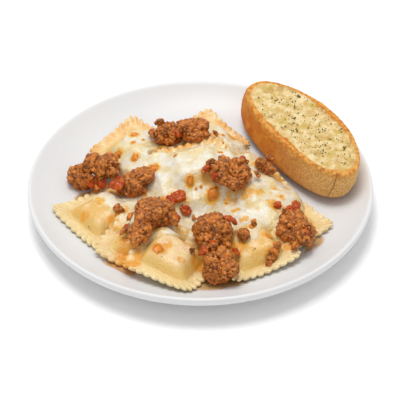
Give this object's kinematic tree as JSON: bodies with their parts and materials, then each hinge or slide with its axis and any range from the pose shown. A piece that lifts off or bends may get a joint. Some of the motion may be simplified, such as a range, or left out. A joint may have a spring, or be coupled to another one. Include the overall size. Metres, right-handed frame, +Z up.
{
  "type": "ravioli",
  "caption": "Plated meal of fluted square ravioli under melted cheese with lumps of meat sauce and a slice of garlic bread, on a round coupe plate.",
  "frame": {"origin": "middle of the plate, on the surface that its foot ring stands on", "axes": "+Z up, -Y towards the diner, +X to the diner's right"},
  "size_m": [0.27, 0.27, 0.0518],
  "materials": {
    "glaze": "smooth white glaze on porcelain",
    "dough": "boiled and baked egg dough, slightly moist",
    "cheese": "melted white cheese with browned spots",
    "bread": "toasted crust and buttered crumb with herbs",
    "meat": "browned minced meat in tomato sauce"
  },
  "bodies": {
    "root": {"plate": "glaze", "ravioli_left": "dough", "ravioli_under_left": "dough", "ravioli_under_right": "dough", "ravioli_back": "dough", "ravioli_back_left": "dough", "ravioli_right": "dough", "ravioli_lower_left": "dough", "ravioli_front": "dough", "ravioli_front_right": "dough", "ravioli_upper_right": "dough", "ravioli_top": "dough", "cheese": "cheese", "garlic_bread": "bread", "meat_left": "meat", "meat_left_back": "meat", "meat_upper_left": "meat", "meat_middle_left": "meat", "meat_lower_left": "meat", "meat_middle": "meat", "meat_front": "meat", "meat_top": "meat", "meat_back_left": "meat", "meat_back": "meat", "meat_right": "meat", "meat_upper_right": "meat"}
  },
  "joints": []
}
